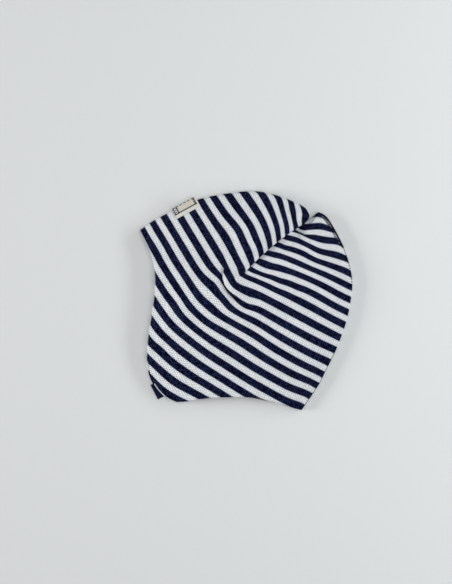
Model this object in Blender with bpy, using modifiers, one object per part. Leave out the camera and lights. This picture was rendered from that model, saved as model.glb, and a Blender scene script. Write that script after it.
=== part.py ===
# A child's earflap hat of striped double knit, lying flat on its side.
#
# Metres, +Z up. The plan is the hat's own side view: X runs from the face edge to the back seam and
# Y from the ear flaps up to the crown. The lower layer lies on z = 0, the upper one is crowned over it.
# The knit is one piece: folded over the crown, seamed down the back, with a dart on the side.

import math
from collections import namedtuple

import bmesh
import bpy
from mathutils import Vector
from mathutils.bvhtree import BVHTree

# Driving dimensions
CAP_LENGTH = 0.2113  # face edge to back seam
CAP_HEIGHT = 0.2185  # nape to crown
WALL = 0.0025  # double knit
CLEARANCE = 0.0003  # between separate pieces

# The space between the layers
FOLD_AIR = 0.0060  # inside the crown fold
MOUTH_LIFT = 0.0078  # at the middle of the face edge, over the room that the tab needs
CROWN_AIR = 0.0150  # at the dart's tip
LEAST_AIR = 0.0008

# Folds and edges
DART_DEPTH = 0.0075
DART_ROLL = 0.0070  # height of the roll of cloth beside the dart
CREASE_DEPTH = 0.0040
TUCK_DEPTH = 0.0024
FOLD_SPREAD = 0.0100  # half the width of the dart's roll
PEEK = 0.0014  # how far the lower layer's edge shows past the upper one's

# The label and the tab
LABEL_LENGTH = 0.0245
LABEL_DEPTH = 0.0113
LABEL_THICKNESS = 0.0007
LABEL_SLOPE = 0.09  # the stiff label drops no faster than this towards the fold
TAB_WIDTH = 0.0163
TAB_REACH = 0.0059  # how far the tab stands out of the flap
TAB_TUCK = 0.0090  # how much of it lies between the flaps
TAB_PLY = 0.0005
TAB_GAP = 0.0003  # between the plies of the folded tab
TAB_ROOM = 2.0 * TAB_PLY + TAB_GAP + 2.0 * CLEARANCE

# Places on the side view: across is a share of CAP_LENGTH, up a share of CAP_HEIGHT
Spot = namedtuple("Spot", "across up")
DART_TIP = Spot(0.471, 0.611)
DART_BEND = Spot(0.608, 0.760)
NOTCH = Spot(0.783, 0.863)
LABEL_CENTRE = Spot(0.212, 0.925)
LABEL_TURN = math.radians(29)
TAB_ROOT = Spot(0.085, 0.094)  # where the tab leaves the flap
TAB_AIM = math.radians(207)

# The outline, clockwise from the face end of the crown fold. On the closed stretches air is a share
# of FOLD_AIR, on the open ones a share of MOUTH_LIFT. Peek is a share of PEEK.
Edge = namedtuple("Edge", "across up air peek")
Stretch = namedtuple("Stretch", "closed count rows")
CROWN_FOLD = Stretch(True, 18, (
    Edge(0.000, 0.822, 1.00, 0.0), Edge(0.064, 0.864, 1.00, 0.0), Edge(0.118, 0.898, 1.00, 0.0),
    Edge(0.199, 0.939, 1.00, 0.0), Edge(0.284, 0.968, 1.00, 0.0), Edge(0.379, 0.987, 1.00, 0.0),
    Edge(0.483, 1.000, 1.00, 0.0), Edge(0.558, 1.000, 1.00, 0.0), Edge(0.625, 0.987, 1.00, 0.0),
    Edge(0.691, 0.966, 0.90, 0.0), Edge(0.750, 0.938, 0.70, 0.0)))
FOLD_END = Stretch(True, 4, (
    Edge(0.750, 0.938, 0.70, 0.0), Edge(0.788, 0.909, 0.45, 0.0), Edge(0.798, 0.888, 0.30, 0.0),
    Edge(0.783, 0.863, 0.20, 0.0)))
BACK_PEAK = Stretch(True, 3, (
    Edge(0.783, 0.863, 0.20, 0.0), Edge(0.809, 0.883, 0.20, 0.0), Edge(0.840, 0.909, 0.20, 0.0)))
BACK_SEAM = Stretch(True, 17, (
    Edge(0.840, 0.909, 0.20, 0.0), Edge(0.878, 0.880, 0.22, 0.0), Edge(0.918, 0.824, 0.26, 0.0),
    Edge(0.956, 0.751, 0.30, 0.0), Edge(0.984, 0.675, 0.32, 0.0), Edge(1.000, 0.590, 0.32, 0.0),
    Edge(0.993, 0.503, 0.32, 0.0), Edge(0.970, 0.398, 0.30, 0.0), Edge(0.925, 0.281, 0.28, 0.0),
    Edge(0.864, 0.167, 0.24, 0.0), Edge(0.760, 0.000, 0.20, 0.0)))
NECK_EDGE = Stretch(False, 9, (
    Edge(0.760, 0.000, 0.00, 0.0), Edge(0.696, 0.018, 0.35, 0.8), Edge(0.611, 0.044, 0.70, 1.0),
    Edge(0.516, 0.060, 0.90, 0.5), Edge(0.398, 0.061, 0.85, 0.0), Edge(0.293, 0.054, 0.62, 0.0),
    Edge(0.222, 0.042, 0.35, 0.0), Edge(0.168, 0.038, 0.22, 0.0)))
EAR_FLAP = Stretch(False, 7, (
    Edge(0.168, 0.038, 0.22, 0.0), Edge(0.118, 0.060, 0.18, 0.6), Edge(0.073, 0.105, 0.22, 1.0),
    Edge(0.043, 0.162, 0.34, 1.0), Edge(0.028, 0.238, 0.55, 0.4)))
FACE_EDGE = Stretch(False, 12, (
    Edge(0.028, 0.238, 0.55, 0.4), Edge(0.034, 0.330, 0.80, 0.0), Edge(0.053, 0.449, 0.97, 0.0),
    Edge(0.066, 0.549, 1.00, 0.0), Edge(0.064, 0.641, 0.97, 0.0), Edge(0.042, 0.732, 0.80, 0.0),
    Edge(0.000, 0.822, 0.60, 0.0)))
OUTLINE = (CROWN_FOLD, FOLD_END, BACK_PEAK, BACK_SEAM, NECK_EDGE, EAR_FLAP, FACE_EDGE)

# Folds in the upper layer. Each runs from start to end, pulled towards bend, with a ridge on its left
# as one looks along it. Left and right are the half widths of its valley on either side. They and the
# ridge's place and half width are shares of FOLD_SPREAD, and the fades shares of the fold's length.
Fold = namedtuple("Fold", "start bend end depth left right ridge ridge_at ridge_width fade_in fade_out")
FOLDS = (
    Fold(DART_TIP, DART_BEND, NOTCH, DART_DEPTH, 0.35, 0.80, DART_ROLL, 1.10, 1.00, 0.45, 0.0),
    Fold(Spot(0.388, 0.677), Spot(0.357, 0.542), Spot(0.506, 0.481), CREASE_DEPTH, 0.35, 0.60,
         0.5 * CREASE_DEPTH, 0.80, 0.60, 0.30, 0.30),
    Fold(Spot(0.719, 0.826), Spot(0.769, 0.800), Spot(0.847, 0.773), TUCK_DEPTH, 0.35, 0.50,
         0.7 * TUCK_DEPTH, 0.70, 0.45, 0.15, 0.45),
)

# The sheet is a fan of rays from the dart's tip. Rings are shares of the way out, and they are nearly
# round beside the tip, where the crease is.
UPPER_RINGS = (0.05, 0.09, 0.125, 0.155, 0.18, 0.205, 0.235, 0.28, 0.34, 0.42, 0.51, 0.61, 0.71, 0.80,
               0.88, 0.945, 1.0)
LOWER_RINGS = (0.5, 1.0)
NEAR_SHARE = 0.5  # a ring's radius beside the tip, as a share of CAP_LENGTH
RIM_STEPS = 6  # faces around the crown fold and the back seam, top to bottom
CURVE_STEPS = 24
DART_LEAN = math.radians(8)  # how far the dart's own ray turns at its tip
FRONT_LEAN = math.radians(20)  # what the rays beside it add, so that they fan out from it
BACK_LEAN = math.radians(18)
FRONT_REACH = 0.14 * CAP_LENGTH  # the stretch of outline from the notch over which that lean fades
BACK_REACH = 0.095 * CAP_LENGTH
ROUND_BLEND = 9  # rays over which the closed edge's profile gives way to the open edge's
ROUND_POWER = 3.0  # the profile from the tip to a closed edge, which is full and then steep
ROUND_STEEPNESS = 0.6
OPEN_POWER = 2.0  # and to an open edge
EDGE_FADE = 0.12  # the last share of a ray, over which the folds die out
LABEL_COLUMNS = 7
LABEL_ROWS = 6
TAB_TURN_STEPS = 4

Knot = namedtuple("Knot", "point air peek closed")
Ray = namedtuple("Ray", "bend edge outward knot roundness nearness")


def place(spot):
    """A spot on the side view, in metres from its middle."""
    return Vector(((spot.across - 0.5) * CAP_LENGTH, (spot.up - 0.5) * CAP_HEIGHT))


def aim(angle):
    return Vector((math.cos(angle), math.sin(angle)))


def raised(flat, height):
    return Vector((flat.x, flat.y, height))


def bent(start, bend, end, share):
    """A point on the curve from start to end that is pulled towards bend."""
    rest = 1.0 - share
    return start * rest * rest + bend * 2.0 * share * rest + end * share * share


def smooth_step(share):
    share = min(max(share, 0.0), 1.0)
    return share * share * (3.0 - 2.0 * share)


def smooth_row(before, first, second, after, share):
    """Catmull-Rom between the middle two of four rows, column by column."""
    values = []
    for a, b, c, d in zip(before, first, second, after):
        linear = (c - a) * share
        square = (2.0 * a - 5.0 * b + 4.0 * c - d) * share ** 2
        cube = (3.0 * b - a - 3.0 * c + d) * share ** 3
        values.append(0.5 * (2.0 * b + linear + square + cube))
    return Edge(*values)


def evenly_spaced(stretch):
    """The stretch's rows as a smooth curve, cut into equal lengths."""
    rows = stretch.rows
    fine = []
    for index in range(len(rows) - 1):
        before = rows[max(index - 1, 0)]
        after = rows[min(index + 2, len(rows) - 1)]
        for step in range(CURVE_STEPS):
            fine.append(smooth_row(before, rows[index], rows[index + 1], after, step / CURVE_STEPS))
    fine.append(rows[-1])
    lengths = [0.0]
    for first, second in zip(fine, fine[1:]):
        lengths.append(lengths[-1] + (place(second) - place(first)).length)
    picked = []
    at = 0
    for index in range(stretch.count):
        wanted = lengths[-1] * index / stretch.count
        while lengths[at + 1] < wanted:
            at += 1
        share = (wanted - lengths[at]) / (lengths[at + 1] - lengths[at])
        picked.append(Edge(*(a + (b - a) * share for a, b in zip(fine[at], fine[at + 1]))))
    picked.append(rows[-1])
    return picked


def outline_knots():
    """The outline's points, clockwise. Where two stretches meet, the first one's last point stands."""
    knots = []
    for stretch in OUTLINE:
        for row in evenly_spaced(stretch)[1 if knots else 0:]:
            air = FOLD_AIR * row.air if stretch.closed else TAB_ROOM + MOUTH_LIFT * row.air
            knots.append(Knot(place(row), air, PEEK * row.peek, stretch.closed))
    return knots[:-1]


def lean_from_dart(signed_length):
    """How far a ray turns away from the dart at the tip, by the outline's length from the notch."""
    if signed_length > 0.0:
        reach = signed_length / BACK_REACH
        return -BACK_LEAN * reach * math.exp(1.0 - reach)
    reach = -signed_length / FRONT_REACH
    return (DART_LEAN + FRONT_LEAN * reach) * math.exp(-reach)


def roundness(knots, index):
    """The share of closed edge around a ray, which the nearest rays count most in."""
    total = 0.0
    weights = 0.0
    for step in range(-ROUND_BLEND, ROUND_BLEND + 1):
        weight = ROUND_BLEND + 1 - abs(step)
        total += weight * knots[(index + step) % len(knots)].closed
        weights += weight
    return total / weights


def cap_rays():
    """One ray for each point of the outline, from the dart's tip to where the flat layer ends."""
    knots = outline_knots()
    count = len(knots)
    last_closed = sum(knot.closed for knot in knots) - 1
    notch = CROWN_FOLD.count + FOLD_END.count
    tip = place(DART_TIP)
    lengths = [0.0]
    for first, second in zip(knots, knots[1:]):
        lengths.append(lengths[-1] + (second.point - first.point).length)
    rays = []
    for index, knot in enumerate(knots):
        before, after = index - 1, (index + 1) % count
        if knot.closed:
            before, after = max(before, 0), min(after, last_closed)
        to_here = (knot.point - knots[before].point).normalized()
        from_here = (knots[after].point - knot.point).normalized()
        along = (to_here + from_here).normalized()
        outward = Vector((-along.y, along.x))
        edge = knot.point - outward * rim_radius(knot) if knot.closed else knot.point
        span = edge - tip
        angle = math.atan2(span.y, span.x) + lean_from_dart(lengths[index] - lengths[notch])
        bend = tip + aim(angle) * 0.5 * span.length
        nearness = NEAR_SHARE * CAP_LENGTH / span.length
        rays.append(Ray(bend, edge, outward, knot, roundness(knots, index), nearness))
    return rays


def place_on_fold(fold, point):
    """How far along the fold the point lies, and how far to its left."""
    start, bend, end = place(fold.start), place(fold.bend), place(fold.end)
    best = None
    for step in range(CURVE_STEPS):
        first = bent(start, bend, end, step / CURVE_STEPS)
        along = bent(start, bend, end, (step + 1) / CURVE_STEPS) - first
        share = min(max((point - first).dot(along) / along.length_squared, 0.0), 1.0)
        off = point - (first + along * share)
        if best is None or off.length < abs(best[1]):
            side = 1.0 if along.x * off.y - along.y * off.x >= 0.0 else -1.0
            best = ((step + share) / CURVE_STEPS, side * off.length)
    return best


def fold_lift(point):
    """What the folds add to the upper layer's height at a point of the plan."""
    lift = 0.0
    for fold in FOLDS:
        along, side = place_on_fold(fold, point)
        side /= FOLD_SPREAD
        strength = smooth_step(along / fold.fade_in)
        if fold.fade_out > 0.0:
            strength *= smooth_step((1.0 - along) / fold.fade_out)
        width = fold.left if side > 0.0 else fold.right
        lift -= strength * fold.depth * math.exp(-(side / width) ** 2)
        if side > 0.0:
            lift += strength * fold.ridge * math.exp(-((side - fold.ridge_at) / fold.ridge_width) ** 2)
    return lift


def upper_point(ray, ring):
    """A point of the upper layer's outside, where a ray crosses a ring."""
    share = ring * (ray.nearness * (1.0 - ring) + ring)
    flat = bent(place(DART_TIP), ray.bend, ray.edge, share)
    round_fall = (1.0 - share ** ROUND_POWER) ** ROUND_STEEPNESS
    open_fall = 1.0 - share ** OPEN_POWER
    fall = ray.roundness * round_fall + (1.0 - ray.roundness) * open_fall
    air = ray.knot.air + (CROWN_AIR - ray.knot.air) * fall
    air += fold_lift(flat) * smooth_step((1.0 - share) / EDGE_FADE)
    return raised(flat, 2.0 * WALL + max(air, LEAST_AIR))


def rim_radius(knot):
    """The outer radius of the turned edge, which holds two walls and the air between them."""
    return WALL + 0.5 * knot.air


def rim_point(ray, step):
    """A point of the turned edge that joins the layers, from the top round to the underside."""
    angle = math.pi * (0.5 - step / RIM_STEPS)
    radius = rim_radius(ray.knot)
    return raised(ray.edge + ray.outward * radius * math.cos(angle), radius * (1.0 + math.sin(angle)))


def lower_point(ray, share):
    """A point of the lower layer's underside, whose edge shows a little past the upper one's."""
    end = ray.edge + ray.outward * ray.knot.peek
    return raised(bent(place(DART_TIP), ray.bend, end, share), 0.0)


def fan(sheet, centre, ring, flip):
    """Triangles from a centre to a closed ring of points."""
    for index, vert in enumerate(ring):
        following = ring[(index + 1) % len(ring)]
        sheet.faces.new((centre, vert, following) if flip else (centre, following, vert))


def band(sheet, first, second, spans):
    """Quads between two rings, over the given number of spans."""
    for index in range(spans):
        following = (index + 1) % len(first)
        sheet.faces.new((first[index], first[following], second[following], second[index]))


def dress(name, sheet, material, collection, wall, offset):
    """The sheet as a named object with its wall and its material."""
    mesh = bpy.data.meshes.new(name)
    sheet.to_mesh(mesh)
    sheet.free()
    mesh.materials.append(material)
    mesh.shade_smooth()
    piece = bpy.data.objects.new(name, mesh)
    collection.objects.link(piece)
    thickness = piece.modifiers.new("wall", "SOLIDIFY")
    thickness.thickness = wall
    thickness.offset = offset
    return piece


def build_cap(collection, material):
    """The knit: upper layer, turned edge and lower layer in one sheet, open at the face and neck."""
    rays = cap_rays()
    closed_rays = [ray for ray in rays if ray.knot.closed]
    tip = place(DART_TIP)
    sheet = bmesh.new()
    upper = [[sheet.verts.new(upper_point(ray, ring)) for ray in rays] for ring in UPPER_RINGS]
    lower = [[sheet.verts.new(lower_point(ray, ring)) for ray in rays] for ring in LOWER_RINGS]
    rim = [upper[-1]]
    for step in range(1, RIM_STEPS):
        rim.append([sheet.verts.new(rim_point(ray, step)) for ray in closed_rays])
    rim.append(lower[-1])

    fan(sheet, sheet.verts.new(raised(tip, 2.0 * WALL + CROWN_AIR + fold_lift(tip))), upper[0], flip=False)
    for inner, outer in zip(upper, upper[1:]):
        band(sheet, inner, outer, len(rays))
    for above, below in zip(rim, rim[1:]):
        band(sheet, above, below, len(closed_rays) - 1)
    for inner, outer in zip(lower, lower[1:]):
        band(sheet, outer, inner, len(rays))
    fan(sheet, sheet.verts.new(raised(tip, 0.0)), lower[0], flip=True)
    return dress("cap_body", sheet, material, collection, WALL, -1.0)


def build_label(collection, material, cap):
    """The label lies on the fold above the forehead, a little stiffer than the knit under it."""
    bpy.context.view_layer.update()
    surface = BVHTree.FromObject(cap, bpy.context.evaluated_depsgraph_get())
    across, outward = aim(LABEL_TURN), aim(LABEL_TURN + 0.5 * math.pi)
    down = Vector((0.0, 0.0, -1.0))
    row_depth = LABEL_DEPTH / (LABEL_ROWS - 1)
    sheet = bmesh.new()
    rows = []
    for row in range(LABEL_ROWS):
        points = []
        for column in range(LABEL_COLUMNS):
            flat = place(LABEL_CENTRE) + outward * (row * row_depth - 0.5 * LABEL_DEPTH)
            flat += across * LABEL_LENGTH * (column / (LABEL_COLUMNS - 1) - 0.5)
            hit = surface.ray_cast(raised(flat, CAP_HEIGHT), down)[0]
            height = hit.z + CLEARANCE if hit else 0.0
            if rows:
                height = max(height, rows[-1][column].co.z - LABEL_SLOPE * row_depth)
            points.append(sheet.verts.new(raised(flat, height)))
        rows.append(points)
    for first, second in zip(rows, rows[1:]):
        band(sheet, first, second, LABEL_COLUMNS - 1)
    return dress("front_label", sheet, material, collection, LABEL_THICKNESS, 1.0)


def build_tab(collection, material):
    """The tab is a ribbon folded on itself, held between the two ear flaps."""
    out = aim(TAB_AIM)
    along = Vector((-out.y, out.x))
    turn = 0.5 * (TAB_GAP + TAB_PLY)
    low = WALL + CLEARANCE + 0.5 * TAB_PLY
    fold_start = TAB_REACH - turn - 0.5 * TAB_PLY
    profile = [(-TAB_TUCK, low)]
    for step in range(TAB_TURN_STEPS + 1):
        angle = math.pi * (step / TAB_TURN_STEPS - 0.5)
        profile.append((fold_start + turn * math.cos(angle), low + turn * (1.0 + math.sin(angle))))
    profile.append((-TAB_TUCK, low + 2.0 * turn))
    sheet = bmesh.new()
    sides = []
    for side in (-0.5, 0.5):
        root = place(TAB_ROOT) + along * TAB_WIDTH * side
        sides.append([sheet.verts.new(raised(root + out * reach, height)) for reach, height in profile])
    band(sheet, sides[0], sides[1], len(profile) - 1)
    return dress("side_tab", sheet, material, collection, TAB_PLY, 0.0)


def plain_material(name, colour, roughness):
    material = bpy.data.materials.new(name)
    material.use_nodes = True
    shader = material.node_tree.nodes["Principled BSDF"]
    shader.inputs["Base Color"].default_value = (*colour, 1.0)
    shader.inputs["Roughness"].default_value = roughness
    shader.inputs["Metallic"].default_value = 0.0
    return material


def centre_on_footprint(pieces, collection):
    """Stand everything on one empty, so that the whole hat's box is centred on the origin."""
    depsgraph = bpy.context.evaluated_depsgraph_get()
    corners = [vert.co for piece in pieces for vert in piece.evaluated_get(depsgraph).data.vertices]
    middle_x = 0.5 * (min(c.x for c in corners) + max(c.x for c in corners))
    middle_y = 0.5 * (min(c.y for c in corners) + max(c.y for c in corners))
    stand = bpy.data.objects.new("hat_origin", None)
    collection.objects.link(stand)
    for piece in pieces:
        piece.parent = stand
    stand.location = (-middle_x, -middle_y, 0.0)


def main():
    for old in list(bpy.data.objects):
        bpy.data.objects.remove(old)
    collection = bpy.data.collections.new("earflap_hat")
    bpy.context.scene.collection.children.link(collection)
    cap = build_cap(collection, plain_material("striped_knit", (0.62, 0.64, 0.67), 0.95))
    label = build_label(collection, plain_material("woven_label", (0.72, 0.66, 0.55), 0.85), cap)
    tab = build_tab(collection, plain_material("navy_ribbon", (0.010, 0.014, 0.045), 0.80))
    bpy.context.view_layer.update()
    centre_on_footprint((cap, label, tab), collection)


main()
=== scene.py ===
import math

import bpy
import numpy as np
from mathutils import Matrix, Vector, noise
from mathutils.bvhtree import BVHTree


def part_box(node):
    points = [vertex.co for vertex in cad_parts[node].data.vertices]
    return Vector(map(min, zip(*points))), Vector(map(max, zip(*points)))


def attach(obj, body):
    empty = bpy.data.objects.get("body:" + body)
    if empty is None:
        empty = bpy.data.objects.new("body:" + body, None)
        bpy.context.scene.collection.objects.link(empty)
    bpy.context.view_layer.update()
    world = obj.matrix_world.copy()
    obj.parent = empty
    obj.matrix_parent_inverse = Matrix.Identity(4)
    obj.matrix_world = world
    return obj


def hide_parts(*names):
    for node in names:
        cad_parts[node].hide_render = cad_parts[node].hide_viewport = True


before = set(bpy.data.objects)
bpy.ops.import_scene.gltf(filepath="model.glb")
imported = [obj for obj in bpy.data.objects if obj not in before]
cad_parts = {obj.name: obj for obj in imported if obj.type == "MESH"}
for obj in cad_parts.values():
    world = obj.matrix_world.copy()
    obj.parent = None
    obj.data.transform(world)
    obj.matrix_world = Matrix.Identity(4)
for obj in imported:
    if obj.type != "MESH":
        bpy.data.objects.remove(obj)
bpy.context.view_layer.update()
capLow, capHigh = (np.array(corner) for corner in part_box("cap_body"))
capLength, capHeight = (capHigh - capLow)[:2]
print("frame loaded, the hat is %.0f by %.0f mm" % (1000 * capLength, 1000 * capHeight))


def setAll(target, **settings):
    for key, value in settings.items():
        setattr(target, key, value)
    return target


def addObject(name, data):
    made = bpy.data.objects.new(name, data)
    bpy.context.scene.collection.objects.link(made)
    return made


# A smooth mesh with a UV map that says where each corner of its faces was on the flat cloth
def addCloth(name, spots, faces, mapName, pattern):
    mesh = bpy.data.meshes.new(name)
    mesh.from_pydata(spots.tolist(), [], faces)
    layer = mesh.uv_layers.new(name=mapName)
    layer.uv.foreach_set("vector", pattern.astype(np.float32).ravel())
    mesh.update()
    mesh.shade_smooth()
    return addObject(name, mesh)


# Places on the hat's side view: across is a share of its length, up a share of its height
def spotAt(across, up):
    return capLow[:2] + np.array([across * capLength, up * capHeight])


def unit(vectors):
    return vectors / np.linalg.norm(vectors, axis=-1, keepdims=True)


def smoothStep(share):
    share = np.clip(share, 0.0, 1.0)
    return share * share * (3.0 - 2.0 * share)


def bump(off, width):
    return np.exp(-(off / width) ** 2)


def withHeight(plan, height):
    return np.concatenate([plan, height[..., None]], axis=-1)


# How far along its row each point lies
def runAlong(points):
    return np.concatenate([[0.0], np.cumsum(np.linalg.norm(np.diff(points, axis=0), axis=1))])


# Catmull-Rom between the middle two of four values
def smoothBetween(before, first, second, after, share):
    linear = (second - before) * share
    square = (2.0 * before - 5.0 * first + 4.0 * second - after) * share ** 2
    cube = (3.0 * first - before - 3.0 * second + after) * share ** 3
    return 0.5 * (2.0 * first + linear + square + cube)


# A table's rows as a smooth curve, with the given number of steps from row to row
def smoothTable(rows, steps):
    rows = np.array(rows, float)
    fine = []
    for index in range(len(rows) - 1):
        before, after = rows[max(index - 1, 0)], rows[min(index + 2, len(rows) - 1)]
        for step in range(steps):
            fine.append(smoothBetween(before, rows[index], rows[index + 1], after, step / steps))
    return np.array(fine + [rows[-1]])


# The point at each share of the way along the curve from start to end that is pulled towards bend
def bent(start, bend, end, share):
    share = np.asarray(share)[..., None]
    return start * (1.0 - share) ** 2 + bend * 2.0 * share * (1.0 - share) + end * share ** 2


# The cap. Lengths are in metres, angles in degrees.
cap = {
    "wall": 0.0025,
    "foldAir": 0.0060,  # between the layers at a closed edge
    "mouthLift": 0.0078,  # and at an open edge, on top of tabRoom
    "tabRoom": 0.0019,
    "crownAir": 0.0150,  # at the tip
    "leastAir": 0.0005,  # anywhere
    "peek": 0.0016,  # how far the lower layer shows past the upper one's edge at most
    "tip": (0.471, 0.611),  # the dart's inner end, where the rays start
    "curveSteps": 24,  # from row to row of the outline
    "foldSteps": 36,  # along a fold
    "roundPower": 3,  # of the fall from the tip to a closed edge
    "openPower": 2,  # and to an open edge
    "curlPower": 12,  # of the lower layer's rise towards the rim
    "rimStart": 76,  # up from level, where the upper layer turns into the rim
    "rimSteps": 16,
    "seamDip": 0.10,  # how far the back seam draws the rim in, as a share of its radius
    "seamWidth": 9,  # round the rim
    "seamLag": 2,  # rays from the notch to the first one of the back seam
    "hemSteps": 6,
    "cornerBlend": 0.018,  # how far from each end of the fold the rim and the hem fit each other
    "hemStart": 0.006,  # the stretch of open edge over which the hem gets its full width
    "nearSpacing": 0.00045,  # between rays at the notch, from where it grows
    "spacingGrowth": 0.018,
    "farSpacing": 0.0020,
    "dartLean": 8,  # how far the dart's own ray turns
    "frontLean": 20,  # how fast that grows towards the front, before it dies out
    "backLean": 18,  # the most that the rays behind the dart turn the other way
    "frontReach": 0.14,  # the scale of both along the outline, as a share of the hat's length
    "backReach": 0.095,
    "nearReach": 0.5,  # near the tip all rays count as this long, as a share of the hat's length
    "roundReach": 0.118,  # the stretch of outline over which a closed edge's profile gives way
    "edgeFade": 0.12,  # the last share of a ray, over which the folds die out
    "leastCloth": 0.0007,  # left between the outside and the inside at the bottom of a fold
    "insideSink": 0.0008,  # how far the inside hangs below the wall's thickness
    "firstRing": 0.02,
    "innerStride": 3,  # the inside takes every third ring
}

# The outline, clockwise from the face end of the crown fold. Air is a share of foldAir where the edge
# is closed and of mouthLift where it is open. Peek is a share of the cap's peek, and none if not given.
outline = [
    ("crownFold", True, [  # across, up, air, peek
        (-0.006, 0.8245, 1.00), (0.061, 0.869, 1.00), (0.118, 0.898, 1.00),
        (0.199, 0.939, 1.00), (0.284, 0.968, 1.00), (0.379, 0.987, 1.00),
        (0.483, 1.000, 1.00), (0.558, 1.000, 1.00), (0.625, 0.987, 1.00),
        (0.691, 0.966, 0.90), (0.752, 0.941, 0.70)]),
    ("foldEnd", True, [
        (0.752, 0.941, 0.70), (0.790, 0.915, 0.45), (0.799, 0.890, 0.30),
        (0.783, 0.863, 0.20)]),
    ("backPeak", True, [
        (0.783, 0.863, 0.20), (0.809, 0.883, 0.20), (0.840, 0.909, 0.20)]),
    ("backSeam", True, [
        (0.840, 0.909, 0.20), (0.880, 0.882, 0.22), (0.918, 0.824, 0.26),
        (0.956, 0.751, 0.30), (0.984, 0.675, 0.32), (1.000, 0.590, 0.32),
        (0.993, 0.503, 0.32), (0.970, 0.398, 0.30), (0.925, 0.281, 0.28),
        (0.867, 0.167, 0.24), (0.842, 0.118, 0.22), (0.760, 0.000, 0.20)]),
    ("neckEdge", False, [
        (0.760, 0.000, -0.10), (0.696, 0.018, 0.35, 0.8), (0.611, 0.044, 0.70, 1.0),
        (0.516, 0.060, 0.90, 0.5), (0.398, 0.061, 0.85), (0.293, 0.054, 0.62),
        (0.222, 0.042, 0.35), (0.168, 0.038, 0.22)]),
    ("earFlap", False, [
        (0.168, 0.038, 0.22), (0.118, 0.060, 0.18, 0.6), (0.073, 0.105, 0.22, 1.0),
        (0.043, 0.162, 0.34, 1.0), (0.028, 0.238, 0.55, 0.4)]),
    ("faceEdge", False, [
        (0.028, 0.238, 0.55, 0.4), (0.034, 0.330, 0.80), (0.053, 0.449, 0.97),
        (0.066, 0.549, 1.00), (0.064, 0.641, 0.97), (0.042, 0.732, 0.80),
        (-0.006, 0.8245, 0.51)]),
]

# Rings are shares of the way out, close together where the crease is
ringPlan = [(0.130, 0.0130), (0.290, 0.0048), (0.930, 0.0125), (1.000, 0.0070)]  # until, step
lowerRings = [0.10, 0.25, 0.40, 0.55, 0.70, 0.80, 0.88, 0.94, 0.975, 1.0]

# Folds run from start to end, pulled towards bend. The cloth on their left laps over the cloth on
# their right, which runs on below the lip. Lengths are in metres, fades are shares of the fold.
foldValues = {  # dart, crease, tuck and pleat
    "start": ((0.471, 0.611), (0.388, 0.677), (0.719, 0.826), (0.703, 0.884)),
    "bend": ((0.608, 0.760), (0.357, 0.542), (0.769, 0.800), (0.722, 0.858)),
    "end": ((0.783, 0.863), (0.506, 0.481), (0.847, 0.773), (0.742, 0.834)),
    "depth": (0.0016, 0.0036, 0.0022, 0.0012),  # of the hollow
    "left": (0.0017, 0.0010, 0.0009, 0.0008),  # its width on either side
    "right": (0.0036, 0.0060, 0.0045, 0.0030),
    "crack": (0.0026, 0.0024, 0.0008, 0.0006),  # of the sharp line beside the lip
    "crackWidth": (0.0011, 0.0015, 0.0008, 0.0008),
    "ridge": (0.0054, 0.0020, 0.0014, 0.0005),  # of the roll on the left
    "ridgeAt": (0.0110, 0.0055, 0.0050, 0.0030),
    "ridgeWidth": (0.0105, 0.0050, 0.0040, 0.0030),
    "lap": (0.0028, 0.0030, 0.0018, 0.0012),  # how far the left goes over
    "under": (0.0010, 0.0011, 0.0010, 0.0006),  # and the right is drawn under it
    "lapAt": (0.0011, 0.0012, 0.0009, 0.0007),
    "lapWidth": (0.0012, 0.0012, 0.0009, 0.0007),
    "lip": (0.0015, 0.0018, 0.0010, 0.0006),
    "openIn": (0.04, 0.30, 0.15, 0.40),  # the share over which the sharp shape begins
    "fadeIn": (0.40, 0.35, 0.20, 0.50),  # the soft one
    "fadeOut": (0.0, 0.30, 0.60, 0.25),  # and over which both end
}
folds = {}
for place, name in enumerate(("dart", "crease", "tuck", "pleat")):
    folds[name] = {key: values[place] for key, values in foldValues.items()}
    folds[name]["path"] = [spotAt(*folds[name][key]) for key in ("start", "bend", "end")]

# Soft swells and hollows: across, up, reach in metres, height in metres
swells = [
    (0.470, 0.775, 0.016, 0.0012), (0.400, 0.600, 0.012, 0.0008), (0.790, 0.700, 0.014, -0.0010),
    (0.860, 0.660, 0.016, 0.0010), (0.250, 0.450, 0.030, 0.0010), (0.620, 0.350, 0.034, -0.0008),
    (0.180, 0.700, 0.022, -0.0007), (0.720, 0.180, 0.024, 0.0008),
]

# The unevenness that soft cloth always has: waves to a metre, layer of the noise, height in metres
unevenness = [(38.0, 1.7, 0.00075), (95.0, 4.3, 0.00022)]

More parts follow.
